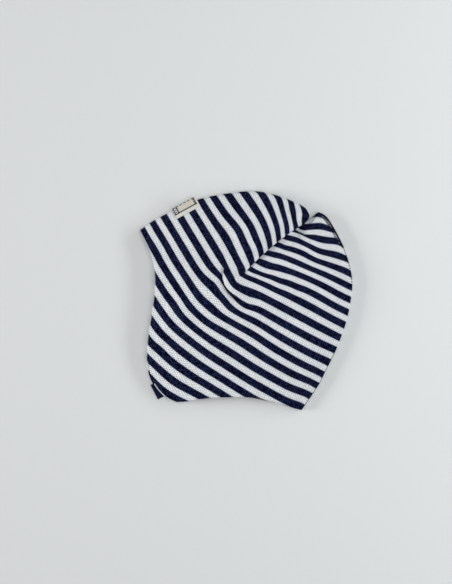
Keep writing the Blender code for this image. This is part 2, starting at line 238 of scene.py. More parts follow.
# The stripes turn round the dart's tip. A row for every 30 degrees from the dart, anticlockwise:
# aim is the direction that the stripes are counted in, in degrees, and pitch one navy and one white.
stripes = {
    "turns": [  # aim, pitch
        (15, 0.0101), (26, 0.0126), (31, 0.0130), (31, 0.0136), (31, 0.0135), (34, 0.0129), (46, 0.0126),
        (58, 0.0128), (60, 0.0131), (60, 0.0126), (63, 0.0119), (67, 0.0100), (73, 0.0094)],
    "turnStep": 30.0,
    "overlap": 60.0,  # how far past the dart each side's own count of the turn goes on
    "atTip": 5.573,  # the count at the tip
    # Where the cloth is pushed along the stripes' count, by the side of the dart, the crease or the
    # tuck that it lies on: across, up, reach in metres, shift in pairs of stripes
    "drifts": {
        "all": [
            (0.010, 0.830, 0.012, -0.10), (0.445, 0.819, 0.014, -0.19), (0.336, 0.970, 0.018, 0.05),
            (0.061, 0.732, 0.014, -0.11), (0.042, 0.275, 0.022, 0.19), (0.104, 0.083, 0.024, 0.28),
            (0.260, 0.321, 0.024, -0.14), (0.360, 0.490, 0.012, -0.17), (0.383, 0.389, 0.012, -0.08),
            (0.497, 0.494, 0.009, 0.24), (0.492, 0.343, 0.022, -0.21), (0.516, 0.193, 0.045, -0.07),
            (0.776, 0.046, 0.013, -0.16), (0.810, 0.115, 0.018, -0.16), (0.918, 0.252, 0.016, -0.10),
            (0.933, 0.503, 0.016, 0.09), (0.161, 0.494, 0.009, -0.10), (0.099, 0.284, 0.009, -0.09),
            (0.729, 0.563, 0.008, 0.10)],
        "front": [
            (0.775, 0.890, 0.012, -0.22), (0.802, 0.885, 0.005, -0.28), (0.540, 0.778, 0.010, 0.10),
            (0.715, 0.906, 0.011, 0.18), (0.765, 0.862, 0.006, 0.12), (0.505, 0.680, 0.010, 0.12),
            (0.476, 0.618, 0.006, 0.13), (0.734, 0.874, 0.006, 0.12)],
        "back": [
            (0.573, 0.650, 0.013, 0.51), (0.601, 0.723, 0.009, 0.14), (0.653, 0.595, 0.011, 0.24),
            (0.767, 0.833, 0.012, 0.38), (0.840, 0.909, 0.009, -0.30), (0.838, 0.741, 0.014, 0.22),
            (0.932, 0.796, 0.026, -0.33), (0.947, 0.778, 0.012, -0.28), (0.989, 0.677, 0.013, -0.20),
            (0.862, 0.851, 0.008, -0.13), (0.509, 0.638, 0.007, 0.20), (0.587, 0.677, 0.006, -0.12),
            (0.677, 0.750, 0.007, 0.12), (0.772, 0.727, 0.009, -0.10)],
        "overCrease": [(0.450, 0.563, 0.012, 0.26), (0.395, 0.635, 0.010, 0.12)],
        "underCrease": [(0.360, 0.572, 0.013, -0.37), (0.398, 0.508, 0.007, -0.10)],
        "aboveTuck": [(0.748, 0.812, 0.008, 0.26)],
        "belowTuck": [(0.748, 0.806, 0.008, -0.22)],
    },
}


# The outline's rays: where each ends, its air, how far the lower layer shows, and if it is closed
def outlineKnots():
    curves = []
    lengths = []
    start = 0.0
    for name, _, rows in outline:
        curves.append(smoothTable([(*row, 0.0)[:4] for row in rows], cap["curveSteps"]))
        lengths.append(start + runAlong(curves[-1][:, :2] * [capLength, capHeight]))
        start = lengths[-1][-1]
        if name == "foldEnd":
            notch = start
    knots = []
    for (_, closed, _), curve, length in zip(outline, curves, lengths):
        off = np.abs(length - notch)
        off = np.minimum(off, start - off)
        spacing = np.minimum(cap["nearSpacing"] + cap["spacingGrowth"] * off, cap["farSpacing"])
        crowd = np.concatenate([[0.0], np.cumsum(np.diff(length) / spacing[1:])])
        wanted = np.linspace(0.0, crowd[-1], math.ceil(crowd[-1]) + 1)
        columns = (*curve.T, length, np.full(len(length), float(closed)))
        picked = np.array([np.interp(wanted, crowd, column) for column in columns]).T
        knots.append(picked[1:] if knots else picked)
    return np.concatenate(knots)[:-1], notch, start


knots, notchLength, outlineLength = outlineKnots()
knotSpots = capLow[:2] + knots[:, :2] * [capLength, capHeight]
knotAlong = knots[:, 4]
isClosed = knots[:, 5] > 0.5
knotAir = knots[:, 2] * np.where(isClosed, cap["foldAir"], cap["mouthLift"]) + cap["tabRoom"] * ~isClosed
knotPeek = knots[:, 3] * cap["peek"]
rayCount = len(knots)
closedCount = int(isClosed.sum())
notchRay = int(np.argmin(np.abs(knotAlong - notchLength)))
seamRay = notchRay + cap["seamLag"]
tip = spotAt(*cap["tip"])
print("outline laid, %d rays of which %d end at a fold or seam" % (rayCount, closedCount))


# The direction out of the cloth at each ray's end. The closed stretch ends at its own last ray.
def outwardAtKnots():
    before = np.roll(knotSpots, 1, axis=0)
    after = np.roll(knotSpots, -1, axis=0)
    before[0] = knotSpots[0] - (knotSpots[1] - knotSpots[0])
    last = closedCount - 1
    after[last] = knotSpots[last] + (knotSpots[last] - knotSpots[last - 1])
    along = unit(unit(knotSpots - before) + unit(after - knotSpots))
    return np.stack([-along[:, 1], along[:, 0]], axis=1)


outward = outwardAtKnots()
rimRadius = cap["wall"] + 0.5 * knotAir
rimAngle = math.radians(cap["rimStart"])
fromFirst = np.minimum(knotAlong, outlineLength - knotAlong)
fromLast = np.abs(knotAlong - knotAlong[closedCount - 1])


# At both ends of the closed stretch the rim leans until it stands over the open edge, and the open
# edge's rays start where the rim ends, so that the two kinds of edge meet without crossing.
def fitCorners():
    last = closedCount - 1
    corners = (
        (0, fromFirst, knotSpots[0] - knotSpots[-1], -1.0),
        (last, fromLast, knotSpots[last] - knotSpots[last + 1], 1.0))
    places = knotAlong.copy()
    for corner, off, edge, turn in corners:
        near = np.maximum(1.0 - off / cap["cornerBlend"], 0.0)
        share = (smoothStep(near) * isClosed)[:, None]
        outward[:] = unit(outward * (1.0 - share) + unit(edge) * share)
        inset = rimRadius[corner] * (1.0 - math.cos(rimAngle))
        places += turn * inset * near ** 2 * ~isClosed
    closing = np.append(knotAlong, outlineLength)
    for axis in (0, 1):
        around = np.append(knotSpots[:, axis], knotSpots[0, axis])
        knotSpots[:, axis] = np.where(isClosed, knotSpots[:, axis], np.interp(places, closing, around))


fitCorners()
rimCentre = knotSpots - outward * rimRadius[:, None]
hemReach = 0.5 * cap["wall"] * smoothStep(np.minimum(fromFirst, fromLast) / cap["hemStart"])


# Where a layer's sheet ends, for a given wall of the rim: the outside's or the inside's radius
def sheetEnds(radius, peek):
    atRim = rimCentre + outward * (radius * math.cos(rimAngle))[:, None]
    atHem = knotSpots + outward * (peek - hemReach)[:, None]
    return np.where(isClosed[:, None], atRim, atHem)


# How far each ray turns from the straight line at the tip, so that the rays fan out from the dart
def rayLean():
    off = knotAlong - notchLength
    off = np.where(off > 0.5 * outlineLength, off - outlineLength, off)
    back = off / (cap["backReach"] * capLength)
    front = -off / (cap["frontReach"] * capLength)
    backLean = -cap["backLean"] * back * np.exp(1.0 - np.maximum(back, 0.0))
    frontLean = (cap["dartLean"] + cap["frontLean"] * front) * np.exp(-np.maximum(front, 0.0))
    return np.radians(np.where(off > 0.0, backLean, frontLean))


# The share of closed edge around each ray, which the nearest rays count most in
def edgeRoundness():
    apart = np.abs(knotAlong[:, None] - knotAlong[None, :])
    apart = np.minimum(apart, outlineLength - apart)
    weight = np.maximum(1.0 - apart / cap["roundReach"], 0.0)
    share = np.gradient(knotAlong)
    share[0] = share[1]
    weight = weight * share[None, :]
    return (weight * isClosed[None, :]).sum(axis=1) / weight.sum(axis=1)


lean = rayLean()
roundness = edgeRoundness()


# The plan of a sheet: one row of points for each ring
def sheetPlan(ends, rings):
    span = ends - tip
    reach = np.linalg.norm(span, axis=1)
    angle = np.arctan2(span[:, 1], span[:, 0]) + lean
    bends = tip + np.stack([np.cos(angle), np.sin(angle)], axis=1) * (0.5 * reach)[:, None]
    nearness = cap["nearReach"] * capLength / reach
    shares = np.array([ring * (nearness * (1.0 - ring) + ring) for ring in rings])
    plans = np.array([bent(tip, bends, ends, share) for share in shares])
    return plans, shares


# How far along a fold each point lies, and how far to its left
def placeOnFold(fold, points):
    steps = cap["foldSteps"]
    curve = bent(*fold["path"], np.linspace(0.0, 1.0, steps + 1))
    bestOff = np.full(points.shape[:-1], 1e9)
    along = np.zeros(points.shape[:-1])
    side = np.zeros(points.shape[:-1])
    for index in range(steps):
        run = curve[index + 1] - curve[index]
        share = np.clip(((points - curve[index]) @ run) / (run @ run), 0.0, 1.0)
        off = points - curve[index] - share[..., None] * run
        far = np.linalg.norm(off, axis=-1)
        left = np.where(run[0] * off[..., 1] - run[1] * off[..., 0] >= 0.0, 1.0, -1.0)
        nearer = far < bestOff
        bestOff = np.where(nearer, far, bestOff)
        along = np.where(nearer, (index + share) / steps, along)
        side = np.where(nearer, left * far, side)
    return along, side


# The direction to a fold's right at each share of the way along it
def rightOfFold(fold, along):
    start, bend, end = fold["path"]
    rest = (1.0 - along)[..., None]
    run = unit(rest * (bend - start) + along[..., None] * (end - bend))
    return np.stack([run[..., 1], -run[..., 0]], axis=-1)


def foldStrength(fold, along, fadeIn):
    strength = smoothStep(along / fadeIn)
    if fold["fadeOut"]:
        strength = strength * smoothStep((1.0 - along) / fold["fadeOut"])
    return strength


# How strongly a place on the side view is felt at each point near it
def felt(plan, across, up, reach):
    return bump(np.linalg.norm(plan - spotAt(across, up), axis=-1), reach)


# What the folds do to the upper layer: how far they lift it, and how far they lap it over
def foldShape(plan):
    lift = np.zeros(plan.shape[:-1])
    shift = np.zeros(plan.shape)
    for fold in folds.values():
        along, side = placeOnFold(fold, plan)
        side = side - fold["lip"]
        soft = foldStrength(fold, along, fold["fadeIn"])
        sharp = foldStrength(fold, along, fold["openIn"])
        lift -= soft * fold["depth"] * bump(side, np.where(side > 0.0, fold["left"], fold["right"]))
        lift -= sharp * fold["crack"] * bump(side + fold["lapAt"], fold["crackWidth"])
        over = bump(side - fold["ridgeAt"], fold["ridgeWidth"])
        lift += soft * fold["ridge"] * np.where(side > 0.0, over, 0.0)
        over = fold["lap"] * bump(side - fold["lapAt"], fold["lapWidth"])
        below = fold["under"] * bump(side + fold["lapAt"], fold["lapWidth"])
        shift += (sharp * (over - below))[..., None] * rightOfFold(fold, along)
    return lift, shift


# The same folds as the inside feels them, softer and with no lap
def softFold(plan):
    lift = np.zeros(plan.shape[:-1])
    for fold in folds.values():
        along, side = placeOnFold(fold, plan)
        soft = foldStrength(fold, along, fold["fadeIn"])
        lift -= soft * fold["depth"] * bump(side, 2.0 * fold["right"])
    return lift


# What the swells and the unevenness add to the height
def softness(plan):
    lift = np.zeros(plan.shape[:-1])
    for *place, height in swells:
        lift += height * felt(plan, *place)
    for waves, layer, height in unevenness:
        rough = [noise.noise(Vector((x, y, layer))) for x, y in plan.reshape(-1, 2) * waves]
        lift += height * np.array(rough).reshape(lift.shape)
    return lift


# The height of the upper layer's outside before its folds
def baseHeight(shares):
    roundFall = 1.0 - shares ** cap["roundPower"]
    openFall = 1.0 - shares ** cap["openPower"]
    fall = roundness * roundFall + (1.0 - roundness) * openFall
    endHeight = np.where(isClosed, rimRadius * (1.0 + math.sin(rimAngle)), 2.0 * cap["wall"] + knotAir)
    crown = 2.0 * cap["wall"] + cap["crownAir"]
    return endHeight + (crown - endHeight) * fall


# The height of the upper layer's inside
def insideHeight(plan, shares):
    fade = smoothStep((1.0 - shares) / cap["edgeFade"])
    height = baseHeight(shares) - cap["wall"] + fade * (softFold(plan) - cap["insideSink"])
    return np.maximum(height, cap["wall"] + cap["leastAir"])


# Stripe and rib coordinates of places on the cloth: along the stripes in metres, and their count
def clothPattern(plan, onFront, underCrease, underTuck):
    off = plan - tip
    reach = np.linalg.norm(off, axis=-1)
    angle = np.degrees(np.arctan2(off[..., 1], off[..., 0]))
    dartSpan = folds["dart"]["path"][-1] - tip
    dartAngle = math.degrees(math.atan2(dartSpan[1], dartSpan[0]))
    turn = (angle - dartAngle) % 360.0
    turn = np.where((turn > 360.0 - stripes["overlap"]) & onFront, turn - 360.0, turn)
    turn = np.where((turn < stripes["overlap"]) & ~onFront, turn + 360.0, turn)
    rows = np.array(stripes["turns"])
    place = turn / stripes["turnStep"]
    at = np.clip(place, 0.0, len(rows) - 1.0)
    index = np.minimum(at.astype(int), len(rows) - 2)
    padded = np.concatenate([[2.0 * rows[0] - rows[1]], rows, [2.0 * rows[-1] - rows[-2]]])
    share = (at - index)[..., None]
    row = smoothBetween(padded[index], padded[index + 1], padded[index + 2], padded[index + 3], share)
    slope = np.where((place < 0.0)[..., None], rows[1] - rows[0], rows[-1] - rows[-2])
    row = row + (place - at)[..., None] * slope
    facing = np.radians(angle - row[..., 0])
    count = stripes["atTip"] + reach / row[..., 1] * np.cos(facing)
    sides = {
        "all": 1.0, "front": onFront, "back": ~onFront,
        "overCrease": ~underCrease, "underCrease": underCrease,
        "aboveTuck": ~onFront & ~underTuck, "belowTuck": ~onFront & underTuck}
    for side, pushes in stripes["drifts"].items():
        for *place, push in pushes:
            count = count + push * felt(plan, *place) * sides[side]
    return np.stack([reach * np.sin(facing), count], axis=-1)


# A mesh that grows ring by ring, and knows where on the flat cloth each vertex was
class ClothMesh:
    def __init__(self):
        self.spots = []
        self.plans = []
        self.folded = []
        self.faces = []
        self.rays = []
        self.count = 0

    def row(self, plan, height, clothPlan, unfolded=None):
        plan = np.asarray(plan, float).reshape(-1, 2)
        height = np.broadcast_to(height, len(plan))
        clothPlan = np.asarray(clothPlan, float).reshape(-1, 2)
        self.spots.append(withHeight(plan, height))
        self.plans.append(clothPlan)
        self.folded.append(clothPlan if unfolded is None else unfolded)
        self.count += len(plan)
        return np.arange(self.count - len(plan), self.count)

    def face(self, corners, ray, flip=False):
        self.faces.append([int(corner) for corner in (corners[::-1] if flip else corners)])
        self.rays.append(int(ray))

    # Quads from each row of vertices to the next, and from each of the given rays to its neighbour
    def bands(self, rows, rays, flip):
        for first, second in zip(rows, rows[1:]):
            there = (rays + 1) % len(first)
            quads = np.stack([first[rays], first[there], second[there], second[rays]], axis=1)
            self.faces += (quads[:, ::-1] if flip else quads).tolist()
            self.rays += rays.tolist()

    def fan(self, centre, ring, flip):
        for index, vertex in enumerate(ring):
            following = ring[(index + 1) % len(ring)]
            self.face([centre, vertex, following] if flip else [centre, following, vertex], index)

    def build(self, name):
        plans = np.concatenate(self.plans)
        sizes = np.array([len(face) for face in self.faces])
        corners = np.concatenate([np.array(face) for face in self.faces])
        ofFace = np.repeat(np.arange(len(sizes)), sizes)
        unfolded = np.concatenate(self.folded)[corners]
        middles = np.add.reduceat(unfolded, np.cumsum(sizes) - sizes, axis=0) / sizes[:, None]
        sides = [np.array(self.rays) < notchRay]
        for fold in (folds["crease"], folds["tuck"]):
            sides.append(placeOnFold(fold, middles)[1] < fold["lip"])
        pattern = clothPattern(plans[corners], *(side[ofFace] for side in sides))
        return addCloth(name, np.concatenate(self.spots), self.faces, "knitMap", pattern)


# The rounded hem between a sheet's outside and inside, over the open rays
def addHem(cloth, outer, inner, ends, outerHeight, innerHeight, flip):
    first = closedCount
    start, out, reach = ends[first:], outward[first:], hemReach[first:, None]
    rows = [outer]
    for step in range(1, cap["hemSteps"]):
        angle = math.pi * step / cap["hemSteps"]
        share = 0.5 * (1.0 - math.cos(angle))
        height = (outerHeight + (innerHeight - outerHeight) * share)[first:]
        clothPlan = start + out * reach * min(angle, math.pi - angle)
        made = cloth.row(start + out * reach * math.sin(angle), height, clothPlan)
        rows.append(np.concatenate([np.full(first, -1), made]))
    rows.append(inner)
    cloth.bands(rows, np.arange(first, rayCount - 1), flip)
    # Both ends close on the last closed ray and on the first one
    for ray, closedRay, turned in ((first, first - 1, False), (rayCount - 1, 0, True)):
        chain = [row[ray] for row in rows] + [inner[closedRay]]
        for one, other in zip(chain, chain[1:]):
            cloth.face([outer[closedRay], one, other], ray if turned else closedRay, turned != flip)


# The rim that joins the layers, from the top round to the underside, on one side of the wall
def addRim(cloth, radius, top, bottom, flip):
    centre, out, level, radius = (part[:closedCount] for part in (rimCentre, outward, rimRadius, radius))
    onSeam = np.arange(closedCount) > seamRay
    rows = [top[:closedCount]]
    for step in range(1, cap["rimSteps"]):
        angle = rimAngle * (1.0 - 2.0 * step / cap["rimSteps"])
        dip = cap["seamDip"] * bump(math.degrees(angle), cap["seamWidth"]) * onSeam
        plan = centre + out * (radius * math.cos(angle) - level * dip)[:, None]
        flatReach = radius * (math.cos(rimAngle) + rimAngle - abs(angle))
        rows.append(cloth.row(plan, level + radius * math.sin(angle), centre + out * flatReach[:, None]))
    rows.append(bottom[:closedCount])
    cloth.bands(rows, np.arange(closedCount - 1), flip)
    return rows


# One side of a layer, from the tip out, laid where it is seen
def addLayer(cloth, plans, heights, tipHeight, flip=False, seen=None):
    seen = plans if seen is None else seen
    rings = [cloth.row(spots, height, spots, plan) for spots, height, plan in zip(seen, heights, plans)]
    cloth.fan(cloth.row(tip, tipHeight, tip)[0], rings[0], flip)
    cloth.bands(rings, np.arange(rayCount), flip)
    return rings


def ringShares():
    shares = [cap["firstRing"]]
    for until, step in ringPlan:
        count = max(round((until - shares[-1]) / step), 1)
        shares += np.linspace(shares[-1], until, count + 1)[1:].tolist()
    return shares


def buildCap():
    cloth = ClothMesh()
    wall = cap["wall"]
    rings = ringShares()
    innerRings = rings[::-1][::cap["innerStride"]][::-1]
    innerRadius = rimRadius - wall
    rise = math.sin(rimAngle)

    # Upper layer: the outside has the folds, and the inside feels them softly
    upperEnds = sheetEnds(rimRadius, 0.0)
    plans, shares = sheetPlan(upperEnds, rings)
    fade = smoothStep((1.0 - shares) / cap["edgeFade"])
    lift, shift = foldShape(plans)
    heights = baseHeight(shares) + fade * (lift + softness(plans))
    heights = np.maximum(heights, insideHeight(plans, shares) + cap["leastCloth"])
    tipLift = foldShape(tip[None, :])[0] + softness(tip[None, :])
    tipHeight = 2.0 * wall + cap["crownAir"] + float(tipLift[0])
    upper = addLayer(cloth, plans, heights, tipHeight, seen=plans + shift * fade[..., None])
    innerPlans, innerShares = sheetPlan(sheetEnds(innerRadius, 0.0), innerRings)
    innerHeights = insideHeight(innerPlans, innerShares)
    innerHeights[-1] = np.where(isClosed, rimRadius + innerRadius * rise, heights[-1] - wall)
    innerUpper = addLayer(cloth, innerPlans, innerHeights, innerHeights[0].mean(), flip=True)

    # Lower layer: underside and inside, flat but for the last stretch up to the rim
    lowEnd = np.where(isClosed, rimRadius * (1.0 - rise), 0.0)
    bedEnd = np.where(isClosed, rimRadius - innerRadius * rise, wall)
    lowerEnds = sheetEnds(rimRadius, knotPeek)
    lowerPlans, lowerShares = sheetPlan(lowerEnds, lowerRings)
    lower = addLayer(cloth, lowerPlans, lowEnd * lowerShares ** cap["curlPower"], 0.0, flip=True)
    bedPlans, bedShares = sheetPlan(sheetEnds(innerRadius, knotPeek), lowerRings)
    bed = addLayer(cloth, bedPlans, wall + (bedEnd - wall) * bedShares ** cap["curlPower"], wall)

    # Rims and hems, and the two ends of the rims
    outerRim = addRim(cloth, rimRadius, upper[-1], lower[-1], flip=False)
    innerRim = addRim(cloth, innerRadius, innerUpper[-1], bed[-1], flip=True)
    addHem(cloth, upper[-1], innerUpper[-1], upperEnds, heights[-1], innerHeights[-1], flip=False)
    addHem(cloth, lower[-1], bed[-1], lowerEnds, lowEnd, bedEnd, flip=True)
    for ray, turned in ((closedCount - 1, False), (0, True)):
        rims = [(outer[ray], inner[ray]) for outer, inner in zip(outerRim, innerRim)]
        for above, below in zip(rims, rims[1:]):
            cloth.face([above[0], above[1], below[1], below[0]], ray, turned)
    return cloth.build("knitCap")


knitCap = buildCap()
print("cap knitted, %d faces" % len(knitCap.data.polygons))


# Shader maths: a socket that adds a Math node for each sum it takes part in
class Flow:
    def __init__(self, kit, socket):
        self.kit = kit
        self.socket = socket

    def maths(self, operation, *others):
        return self.kit.node("ShaderNodeMath", {"operation": operation}, self, *others)

    def __rsub__(self, other):
        return self.kit.node("ShaderNodeMath", {"operation": "SUBTRACT"}, other, self)


def mathsMethod(operation):
    return lambda flow, *others: flow.maths(operation, *others)


# Python's signs and three names for what else the materials need
for method, operation in {
        "__add__": "ADD", "__radd__": "ADD", "__sub__": "SUBTRACT", "__mul__": "MULTIPLY",
        "__rmul__": "MULTIPLY", "__truediv__": "DIVIDE", "__abs__": "ABSOLUTE",
        "fraction": "FRACT", "floor": "FLOOR", "orMore": "MAXIMUM"}.items():
    setattr(Flow, method, mathsMethod(operation))


# Nodes for a material or for a Geometry Nodes tree
class NodeKit:
    def __init__(self, tree):
        self.tree = tree

    # Settings are set first, then the sockets: by place, or by name
    def node(self, kind, settings, *values, out=0, **named):
        made = setAll(self.tree.nodes.new(kind), **settings)
        for index, value in enumerate(values):
            self.join(value, made.inputs[index])
        for name, value in named.items():
            self.join(value, made.inputs[name.replace("_", " ")])
        return Flow(self, made.outputs[out])

    def join(self, value, socket):
        if isinstance(value, Flow):
            self.tree.links.new(value.socket, socket)
        elif value is not None:
            socket.default_value = value

    def ramp(self, value, low, high):
        settings = {"interpolation_type": "SMOOTHSTEP"}
        return self.node("ShaderNodeMapRange", settings, value, low, high, 0.0, 1.0)

    def mixColour(self, factor, first, second, blend="MIX"):
        made = setAll(self.tree.nodes.new("ShaderNodeMix"), data_type="RGBA", blend_type=blend)
        self.join(factor, made.inputs[0])
        self.join(first, made.inputs[6])
        self.join(second, made.inputs[7])
        return Flow(self, made.outputs[2])

    # The two coordinates of one of the piece's own UV maps
    def mapCoordinates(self, name):
        cloth = self.node("ShaderNodeUVMap", {"uv_map": name})
        first = self.node("ShaderNodeSeparateXYZ", {}, cloth)
        return first, Flow(self, first.socket.node.outputs[1])

    # One between low and high and nothing outside them, with a blurred step at each
    def within(self, value, low, high, blur):
        over = self.ramp(value, high - blur, high + blur)
        return self.ramp(value, low - blur, low + blur) * (1.0 - over)

    def spot(self, first, second):
        return self.node("ShaderNodeCombineXYZ", {}, first, second, 0.0)

    def noiseAt(self, place, scale, detail, roughness=None):
        return self.node("ShaderNodeTexNoise", {}, Vector=place, Scale=scale, Detail=detail,
                         Roughness=roughness)

    # How far from the middle of its rib, row or thread a place is: one at the sides
    def fromMiddle(self, count):
        return abs(count.fraction() - 0.5) * 2.0

    # What the material shows: its colour, and a relief of the given strength and depth in metres
    def paint(self, colour, height, strength, depth):
        shader = self.tree.nodes["Principled BSDF"]
        self.join(colour, shader.inputs["Base Color"])
        relief = self.node("ShaderNodeBump", {}, Strength=strength, Distance=depth, Height=height)
        self.join(relief, shader.inputs["Normal"])


def newMaterial(name, roughness, sheen=0.02, specular=0.08):
    material = bpy.data.materials.new(name)
    material.use_nodes = True
    shader = material.node_tree.nodes["Principled BSDF"]
    values = {"Roughness": roughness, "Sheen Weight": sheen, "Specular IOR Level": specular}
    for name, value in values.items():
        shader.inputs[name].default_value = value
    return material, NodeKit(material.node_tree)


# The knit. Widths on it are in metres along the stripes, and in pairs of stripes across them.
knit = {
    "white": (0.930, 0.948, 0.955, 1.0),
    "greyWhite": (0.500, 0.525, 0.540, 1.0),
    "edgeTint": (0.850, 0.880, 0.960, 1.0),  # what the white next to a navy stripe is multiplied by
    "tintReach": 0.17,
    "navy": (0.0002, 0.0009, 0.0100, 1.0),
    "paleNavy": (0.0250, 0.0325, 0.0950, 1.0),
    "navyShare": 0.545,
    "edgeBlur": 0.018,
    "edgeStep": 0.045,  # how far the stitches step in and out along a stripe's edge
    "edgeFray": 0.040,  # how far single fibres do
    "edgeWander": 0.030,  # how far the edge wanders from place to place
    "wale": 0.00116,  # width of a rib of stitches
    "pairWidth": 13.0,  # of a navy and a white stripe, in millimetres
    "rowsInPair": 12.0,  # rows of stitches in them
    "slant": 0.45,  # of a loop, in rows
    # The grain: painted light and shade make every other loop lighter and the rest darker, by chance
    # more or less, and the rest is added to that
    "loopLightAndShade": 0.12,
    "chance": 0.54,
    "fibre": 0.60,
    # painted shade: how much darker the sides of each rib are, where shade falls between ribs
    "rib": 0.20,
    "patch": 0.30,
    "ground": 0.095,
    "whiteRange": (-0.03, 0.97),  # the grain from greyWhite to white
    "navyRange": (0.58, 1.24),  # and from navy to paleNavy
    "blotchNoise": (0.16, 3.0),  # scale to a millimetre, detail
    "patchNoise": (0.035, 2.0),
    "fibreNoise": (2.1, 3.0, 0.7),  # and roughness
    "height": {"rib": 0.60, "loop": 0.50, "fibre": 0.40, "chance": 0.15},
    "relief": (0.9, 0.00030),  # strength, and depth in metres
}


def knitMaterial():
    material, kit = newMaterial("stripedKnit", 0.95, sheen=0.0, specular=0.03)
    along, count = kit.mapCoordinates("knitMap")
    cloth = kit.spot(along * 1000.0, count * knit["pairWidth"])
    blotch = kit.noiseAt(cloth, *knit["blotchNoise"])
    patch = kit.noiseAt(cloth, *knit["patchNoise"])
    fibre = kit.noiseAt(cloth, *knit["fibreNoise"])

    # The stitches: each rib is a column of small slanted loops, no two quite alike
    across = along / knit["wale"]
    fromMiddle = kit.fromMiddle(across)
    rib = 1.0 - fromMiddle * fromMiddle
    row = count * knit["rowsInPair"] - fromMiddle * knit["slant"]
    loop = 1.0 - kit.fromMiddle(row)
    cell = kit.spot(across.floor(), row.floor())
    chance = kit.node("ShaderNodeTexWhiteNoise", {"noise_dimensions": "2D"}, Vector=cell)
    # Painted light and shade: every other loop is lighter, the others darker
    litOrShadedLoop = 1.0 - ((across.floor() + row.floor()) * 0.5).fraction() * 4.0  # 1 and -1 in turn

    # The stripes, whose edges step from stitch to stitch
    fray = (fibre - 0.5) * knit["edgeFray"] + (blotch - 0.5) * knit["edgeWander"]
    edge = (fromMiddle - 0.5) * knit["edgeStep"] + fray
    fromNavy = abs((count + edge + 0.5).fraction() - 0.5)
    half = 0.5 * knit["navyShare"]
    whiteness = kit.ramp(fromNavy, half - knit["edgeBlur"], half + knit["edgeBlur"])
    besideNavy = 1.0 - kit.ramp(fromNavy, half, half + knit["tintReach"])

    # Painted light and shade in the grain: alternate loops lit and shaded, and each rib darker at its
    # sides
    grain = litOrShadedLoop * (chance * knit["chance"] + knit["loopLightAndShade"]) + fibre * knit["fibre"]
    grain = grain + rib * knit["rib"] + (patch - 0.5) * knit["patch"] + knit["ground"]
    white = kit.mixColour(kit.ramp(grain, *knit["whiteRange"]), knit["greyWhite"], knit["white"])
    white = kit.mixColour(besideNavy, white, knit["edgeTint"], blend="MULTIPLY")
    navy = kit.mixColour(kit.ramp(grain, *knit["navyRange"]), knit["navy"], knit["paleNavy"])
    part = knit["height"]
    height = rib * part["rib"] + loop * rib * part["loop"]
    height = height + (fibre - 0.5) * part["fibre"] + chance * part["chance"]
    kit.paint(kit.mixColour(whiteness, navy, white), height, *knit["relief"])
    return material


knitCap.data.materials.append(knitMaterial())
print("knit dyed")


# What lies on the cap is laid where a line straight down from above meets its surface
capSurface = BVHTree.FromPolygons([v.co for v in knitCap.data.vertices],
                                  [tuple(p.vertices) for p in knitCap.data.polygons])


def capTop(plan):
    hit = capSurface.ray_cast(Vector((*plan, 0.1)), Vector((0.0, 0.0, -1.0)))[0]
    return hit.z if hit else None


def aim(degrees):
    return np.array([math.cos(math.radians(degrees)), math.sin(math.radians(degrees))])


# Rounded edges of flat pieces: width as a share of the thickness, and the least angle in degrees
rounding = {"width": 0.22, "segments": 2, "angle": 50}


# A flat piece from a grid of points, with where each was on the flat cloth in its own UV map
def sheetPiece(name, grid, flatGrid, mapName, thickness, material):
    rows, columns = grid.shape[:2]
    at = np.arange(rows * columns).reshape(rows, columns)
    quads = np.stack([at[:-1, :-1], at[:-1, 1:], at[1:, 1:], at[1:, :-1]], axis=-1).reshape(-1, 4)
    pattern = flatGrid.reshape(-1, 2)[quads.ravel()]
    piece = addCloth(name, grid.reshape(-1, 3), quads.tolist(), mapName, pattern)
    piece.data.materials.append(material)
    setAll(piece.modifiers.new("thickness", "SOLIDIFY"), thickness=thickness, offset=0.0,
           use_even_offset=True)
    setAll(piece.modifiers.new("rounded", "BEVEL"), width=rounding["width"] * thickness,
           segments=rounding["segments"], limit_method="ANGLE",
           angle_limit=math.radians(rounding["angle"]))
    return piece


# The label. Places on it are in metres from its lower left corner.
label = {
    "centre": (0.2119, 0.9249),
    "turn": 29,
    "length": 0.0267,
    "depth": 0.0113,
    "thickness": 0.0005,
    "clearance": 0.00015,
    "slope": 0.09,  # the stiff label drops no faster than this towards the fold
    "columns": 50,
    "rows": 24,
    "ground": (0.690, 0.690, 0.650, 1.0),
    "field": (0.620, 0.590, 0.510, 1.0),
    "shade": (0.420, 0.400, 0.350, 1.0),
    "blockGround": (0.720, 0.730, 0.750, 1.0),
    "thread": (0.022, 0.021, 0.030, 1.0),
    "frameThread": (0.060, 0.055, 0.038, 1.0),
    "frame": (0.0003, 0.0251, 0.0036, 0.0113),  # left, right, bottom and top of the woven frame
    "frameWidths": (0.0024, 0.0013, 0.0012),  # right, bottom and top
    "blur": 0.00016,
    "blockEnd": 0.0060,
    "checkSize": 0.00190,
    "dashPitch": 0.0021,
    "strokes": (0.10, 0.72, 0.06),  # of the upper line, in two pitches: start, end and blur
    "dashes": (0.04, 0.84, 0.08),  # in one pitch
    "spots": (0.20, 0.65, 0.08),
    "warp": 0.00045,
    "weft": 0.00035,
    "yarnScale": 1.3,
    "relief": (0.8, 0.00012),
}


# Unevenness of yarn at places in metres, with a scale to a millimetre
def yarnNoise(kit, first, second, scale):
    return kit.noiseAt(kit.spot(first * 1000.0, second * 1000.0), scale, 4.0, 0.7)


